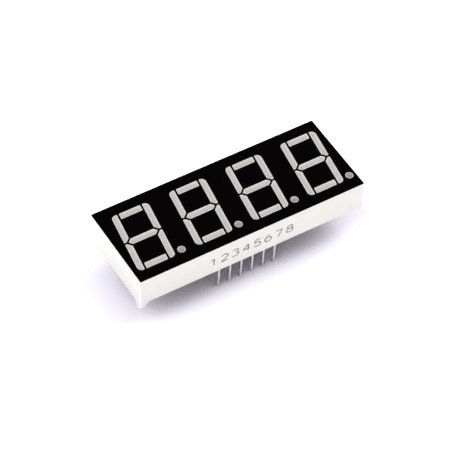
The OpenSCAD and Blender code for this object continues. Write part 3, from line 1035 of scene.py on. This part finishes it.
def grown(path, tree, values, name):
    """Runs a tree on a curve object and keeps the result as a plain mesh of that name."""
    modifier = path.modifiers.new("grow", "NODES")
    modifier.node_group = tree
    sockets = {item.name: item.identifier for item in tree.interface.items_tree
               if item.in_out == "INPUT"}
    for label, value in values.items():
        modifier[sockets[label]] = value
    whole = path.evaluated_get(bpy.context.evaluated_depsgraph_get())
    mesh = bpy.data.meshes.new_from_object(whole)
    mesh.name = name
    path.modifiers.clear()
    bpy.data.objects.remove(path)
    return mesh


print("trees can be run on curves")

# %% [markdown]
# ## One tree for everything that stands on the pin grid
#
# The tree thickens the curve that it is given, by the radius of each point, and closes the ends.
# A grid of points, six by two, then carries one copy to each pin's place. The last nodes make the
# copies real and set their material, since a row of instances would be lost when the model leaves
# Blender. A slight unevenness can be pressed into the metal sideways, the way a dip in hot tin
# leaves it, while the length stays true.

# %% Build the pin grid tree
PIN_GRID_INPUTS = [
    ("Pitch", "Float"), ("Row Gap", "Float"), ("Pins In A Row", "Int"), ("Rows", "Int"),
    ("Sides", "Int"), ("Unevenness", "Float"), ("Wave Length", "Float"), ("Finish", "Material"),
]
pin_grid, given, result = geometry_tree("pin_grid", PIN_GRID_INPUTS)
radius = add(pin_grid, "GeometryNodeInputRadius").outputs[0]
bar = thickened(pin_grid, given["Geometry"], radius, given["Sides"])
row_length = times(pin_grid, given["Pitch"], maths(pin_grid, "SUBTRACT", given["Pins In A Row"], 1.0))
places = add(pin_grid, "GeometryNodeMeshGrid",
             {"Size X": row_length, "Size Y": given["Row Gap"],
              "Vertices X": given["Pins In A Row"], "Vertices Y": given["Rows"]})
copies = add(pin_grid, "GeometryNodeInstanceOnPoints",
             {"Points": places.outputs["Mesh"], "Instance": bar})
real = add(pin_grid, "GeometryNodeRealizeInstances", {"Geometry": copies.outputs[0]})
spot = add(pin_grid, "GeometryNodeInputPosition").outputs[0]
steps = vectors(pin_grid, "SCALE", spot, maths(pin_grid, "DIVIDE", 1.0, given["Wave Length"]))
ripple = maths(pin_grid, "SUBTRACT", noise(pin_grid, steps, detail=1.0), 0.5)
normal = add(pin_grid, "GeometryNodeInputNormal").outputs[0]
sideways = vectors(pin_grid, "MULTIPLY", normal, (1, 1, 0))
shift = vectors(pin_grid, "SCALE", sideways, times(pin_grid, ripple, given["Unevenness"]))
dipped = add(pin_grid, "GeometryNodeSetPosition", {"Geometry": real.outputs[0], "Offset": shift})
coated = add(pin_grid, "GeometryNodeSetMaterial",
             {"Geometry": dipped.outputs[0], "Material": given["Finish"]})
pin_grid.links.new(coated.outputs[0], result["Geometry"])
print("tree:", pin_grid.name, "with", len(PIN_GRID_INPUTS), "named inputs")

# %% [markdown]
# **One call** then grows a turned shape at every pin. It fills in the sizes that were measured at
# the start, so pins and collars can't drift apart.


# %% Grow one shape at every pin
def on_pin_grid(name, outline, material, sides, unevenness=0.0, wave_length=1 * MM):
    """One turned shape, given as (height, radius) points, at the place of every pin."""
    path = path_curve(f"{name}_path", [[((0, 0, z), r) for z, r in outline]])
    mesh = grown(path, pin_grid, {
        "Pitch": PIN_PITCH, "Row Gap": ROW_GAP, "Pins In A Row": PINS_IN_A_ROW, "Rows": ROWS,
        "Sides": sides, "Unevenness": unevenness, "Wave Length": wave_length,
        "Finish": material}, name)
    return softened(mesh, SHARP)


print("shapes can be grown at", ROWS * PINS_IN_A_ROW, "pins")

# %% [markdown]
# ## The pins
#
# Each pin is a length of tinned wire, half a millimetre thick, cut with a small chamfer and upset to
# a shoulder where it bears on the board. Its outline is a list of heights and radii from tip to
# tail, read off like the drawing of a turned part. Along the plain shaft a point every half
# millimetre gives the tin something to be uneven on.

# %% Turn the pins
# A pin's box is as wide as its shoulder, and the shoulder is twice as wide as the wire
SHOULDER_RATIO = 2
SHOULDER_EDGE = 0.02 * MM
WIRE_R = (PIN_HIGH.x - PIN_LOW.x) / 2 / SHOULDER_RATIO
CHAMFER = 0.1 * MM
TIN_STEP = 0.5 * MM
shaft_top = SHELL_LOW.z + FOOT_H
shaft_start = PIN_LOW.z + CHAMFER
shaft_steps = round((shaft_top - shaft_start) / TIN_STEP)
outline = [(PIN_LOW.z, WIRE_R - CHAMFER)]
outline += [(shaft_start + (shaft_top - shaft_start) * i / shaft_steps, WIRE_R)
            for i in range(shaft_steps + 1)]
outline += [(BOARD_LOW.z, SHOULDER_RATIO * WIRE_R), (BOARD_LOW.z + SHOULDER_EDGE, WIRE_R),
            (PIN_HIGH.z, WIRE_R)]
pin_mesh = on_pin_grid("pins", outline, TIN, sides=24, unevenness=0.012 * MM, wave_length=0.7 * MM)
piece_from("pins", pin_mesh, TIN, "tinned_pin", *PIN_NAMES)
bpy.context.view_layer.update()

# %% [markdown]
# ## Where resin meets pin and wall
#
# Liquid resin climbs whatever it touches. Round every pin it sets as a little trumpet, and along the
# walls as a narrow hollow fillet. They are small, but the back of such a module is recognised by
# them: without them, the pins look stuck through a sheet. The trumpets use the pin grid tree again,
# with a flared outline.

# %% Raise the resin round the pins
CLIMB = 0.11 * MM
CLIMB_CURVE = 2.5
FLARE = 0.32 * MM
FLARE_STEPS = 6
# The edge is rooted this deep in the resin, and the collars grip this far into the pins
ROOT = 0.03 * MM
GRIP = 0.004 * MM


def flare(start):
    """(distance, height) points of the resin's edge, from its foot to where it clings at start."""
    shares = [i / FLARE_STEPS for i in range(FLARE_STEPS + 1)]
    return [(start + FLARE * (1 - share), RESIN_LOW.z - CLIMB * share ** CLIMB_CURVE) for share in shares]


def resin_edge(name, mesh):
    """Places resin that has the look of the back all over."""
    back = mesh.attributes.new("back", "FLOAT", "POINT")
    back.data.foreach_set("value", [1.0] * len(mesh.vertices))
    piece_from(name, mesh, RESIN, "milky_epoxy")
    print(name, "has", len(mesh.polygons), "faces")


rooted = RESIN_LOW.z + ROOT
trumpet = [(rooted, WIRE_R + FLARE)] + [(z, reach) for reach, z in flare(WIRE_R - GRIP)]
resin_edge("resin_collars", on_pin_grid("resin_collars", trumpet, RESIN, sides=32))

# %% [markdown]
# **The fillet** follows the four walls with mitred corners. It is the same flare, carried round a
# rectangle instead of turned round a pin, and a few lines of mesh code do that more cleanly than a
# swept curve, which would twist at the corners.

# %% Raise the resin along the walls
fillet = bmesh.new()
profile = [(0.0, rooted), (FLARE, rooted)] + flare(0.0)
loops = [[fillet.verts.new((sx * (RESIN_HIGH.x - inset), sy * (RESIN_HIGH.y - inset), z))
          for sx, sy in CORNERS] for inset, z in profile]
for i, loop in enumerate(loops):
    following = loops[(i + 1) % len(loops)]
    for j in range(len(CORNERS)):
        k = (j + 1) % len(CORNERS)
        fillet.faces.new((loop[j], loop[k], following[k], following[j]))
bmesh.ops.recalc_face_normals(fillet, faces=fillet.faces)
resin_edge("resin_fillet", softened(mesh_from(fillet, "resin_fillet"), SHARP))

# %% [markdown]
# ## Figures on the wall
#
# The long wall in front carries a line of small grey print. On a bought module it would say which
# type it is; ours has no type, so it simply counts from 1 to 8. A figure is a few strokes: straight
# lines and arcs on a field one unit high. Text from a font would be quicker, but its outlines can't
# be thinned towards their ends, as ink is. A closed loop overlaps itself a little, so that its two
# noses hide in the stroke.


# %% Draw the figures as strokes
def arc(x, y, rx, ry, start, end, steps=14):
    """Points of an elliptical arc, in degrees."""
    turns = [math.radians(start + (end - start) * i / steps) for i in range(steps + 1)]
    return [(x + rx * math.cos(t), y + ry * math.sin(t)) for t in turns]


FIGURES = {
    1: [[(0.14, 0.76), (0.44, 1.0)], [(0.44, 1.0), (0.44, 0.0)]],
    2: [arc(0.39, 0.70, 0.37, 0.30, 165, -40) + [(0.0, 0.0)], [(0.0, 0.0), (0.78, 0.0)]],
    3: [arc(0.36, 0.755, 0.34, 0.245, 150, -90), arc(0.36, 0.26, 0.40, 0.26, 90, -150)],
    4: [[(0.58, 0.0), (0.58, 1.0)], [(0.58, 1.0), (0.0, 0.3)], [(0.0, 0.3), (0.8, 0.3)]],
    5: [[(0.70, 1.0), (0.12, 1.0)], [(0.12, 1.0), (0.07, 0.56)],
        [(0.07, 0.56)] + arc(0.36, 0.32, 0.40, 0.32, 115, -145)],
    6: [arc(0.39, 0.31, 0.38, 0.31, 75, 465), arc(0.78, 0.34, 0.77, 0.66, 180, 108)],
    7: [[(0.0, 1.0), (0.76, 1.0)], [(0.76, 1.0), (0.28, 0.0)]],
    8: [arc(0.39, 0.76, 0.30, 0.24, 75, 465), arc(0.39, 0.26, 0.39, 0.26, 75, 465)],
}
print("figures drawn:", sorted(FIGURES))

# %% [markdown]
# **The ink of the figures** is thin and grey. It covers unevenly, so a little of the white wall
# comes through and the tone drifts even within one stroke.


# %% Mix the ink of the figures
def figure_ink():
    """Thin grey marking ink."""
    dark_grey, mid_grey = (0.17, 0.17, 0.175), (0.30, 0.295, 0.29)
    material, tree, shader = finish("figure_ink", IOR=1.45, Specular_IOR_Level=0.2)
    cover = place(tree, grain, Size=0.07 * MM, Spread=0.5)
    thin = place(tree, drift, Reach=0.9 * MM)["Share"]
    surfaced(tree, shader, tinted(tree, blend_colours(tree, thin, dark_grey, mid_grey), cover["Tone"]),
             remap(tree, thin, to_low=0.5, to_high=0.62))
    bumped(tree, shader, cover["Height"], depth=0.003 * MM, strength=0.4)
    return material


FIGURE_INK = figure_ink()
print("mixed:", FIGURE_INK.name)

# %% [markdown]
# **The print tree** takes any strokes as its curve. It spaces their points evenly and rounds the
# nose of each stroke, by letting its radius fall almost to nothing over the last half width. Then it
# presses the round stroke almost flat against the wall, into a film of ink with thin edges.

# %% Build the print tree
SHARPEST_NOSE = 0.05
PRINT_SIDES = 12
wall_print, given, result = geometry_tree("wall_print", [
    ("Stroke Radius", "Float"), ("Step", "Float"), ("Wall Y", "Float"), ("Flatness", "Float"),
    ("Finish", "Material")])
even = add(wall_print, "GeometryNodeResampleCurve",
           {"Curve": given["Geometry"], "Length": given["Step"]}, mode="LENGTH")
run = add(wall_print, "GeometryNodeSplineParameter").outputs["Length"]
whole_run = add(wall_print, "GeometryNodeSplineLength").outputs["Length"]
to_end = maths(wall_print, "MINIMUM", run, maths(wall_print, "SUBTRACT", whole_run, run))
in_radii = maths(wall_print, "DIVIDE", to_end, given["Stroke Radius"])
short_by = maths(wall_print, "MAXIMUM", maths(wall_print, "SUBTRACT", 1.0, in_radii), 0.0)
squared = maths(wall_print, "POWER", short_by, 2.0)
nose = maths(wall_print, "SQRT", maths(wall_print, "SUBTRACT", 1.0, squared))
thick = times(wall_print, maths(wall_print, "MAXIMUM", nose, SHARPEST_NOSE), given["Stroke Radius"])
noses = add(wall_print, "GeometryNodeSetCurveRadius", {"Curve": even.outputs[0], "Radius": thick})
stroke = thickened(wall_print, noses.outputs[0], thick, PRINT_SIDES)
position = add(wall_print, "GeometryNodeInputPosition").outputs[0]
spot = add(wall_print, "ShaderNodeSeparateXYZ", {0: position}).outputs
proud = times(wall_print, maths(wall_print, "SUBTRACT", spot[1], given["Wall Y"]), given["Flatness"])
pressed = add(wall_print, "ShaderNodeCombineXYZ",
              {0: spot[0], 1: maths(wall_print, "ADD", given["Wall Y"], proud), 2: spot[2]})
flat = add(wall_print, "GeometryNodeSetPosition",
           {"Geometry": stroke, "Position": pressed.outputs[0]})
real = add(wall_print, "GeometryNodeRealizeInstances", {"Geometry": flat.outputs[0]})
inked = add(wall_print, "GeometryNodeSetMaterial",
            {"Geometry": real.outputs[0], "Material": given["Finish"]})
wall_print.links.new(inked.outputs[0], result["Geometry"])
print("tree:", wall_print.name)

# %% [markdown]
# **The row** runs along the front wall at about half its height, with the same step from figure to
# figure, as a marking wheel leaves it. All strokes go into one curve, because they are one print.

# %% Print the figures
FIGURE_H = 1.95 * MM
FIGURE_W = 0.78 * FIGURE_H
FIGURE_PITCH = 2.46 * MM
FIGURE_ROW_X = PIN_CENTRE.x - 0.35 * MM
FIGURE_Z = SHELL_LOW.z + 4.23 * MM
STROKE_R = 0.15 * MM
STROKE_STEP = 0.04 * MM
INK_FLATNESS = 0.06
INK_SHARP = math.radians(60)

strokes = []
foot = FIGURE_Z - FIGURE_H / 2
for n, figure in FIGURES.items():
    left = FIGURE_ROW_X + (n - (len(FIGURES) + 1) / 2) * FIGURE_PITCH - FIGURE_W / 2
    for line in figure:
        strokes.append([((left + x * FIGURE_H, SHELL_LOW.y, foot + y * FIGURE_H), 1.0) for x, y in line])
figure_mesh = grown(path_curve("figure_path", strokes), wall_print, {
    "Stroke Radius": STROKE_R, "Step": STROKE_STEP, "Wall Y": SHELL_LOW.y, "Flatness": INK_FLATNESS,
    "Finish": FIGURE_INK}, "wall_figures")
piece_from("wall_figures", softened(figure_mesh, INK_SHARP), FIGURE_INK, "black_ink")
print("figures:", len(strokes), "strokes,", len(figure_mesh.polygons), "faces")

# %% [markdown]
# ## Close the book
#
# Last, the box of the dressed model is measured like that of the construction, and the largest
# change between the two is printed.

# %% Compare the sizes and finish
dressed_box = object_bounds()
growth = max(abs(a - b) for old, new in zip(cad_box, dressed_box) for a, b in zip(old, new))
print("dressing changed the box by", round(growth / MM, 4), "mm")
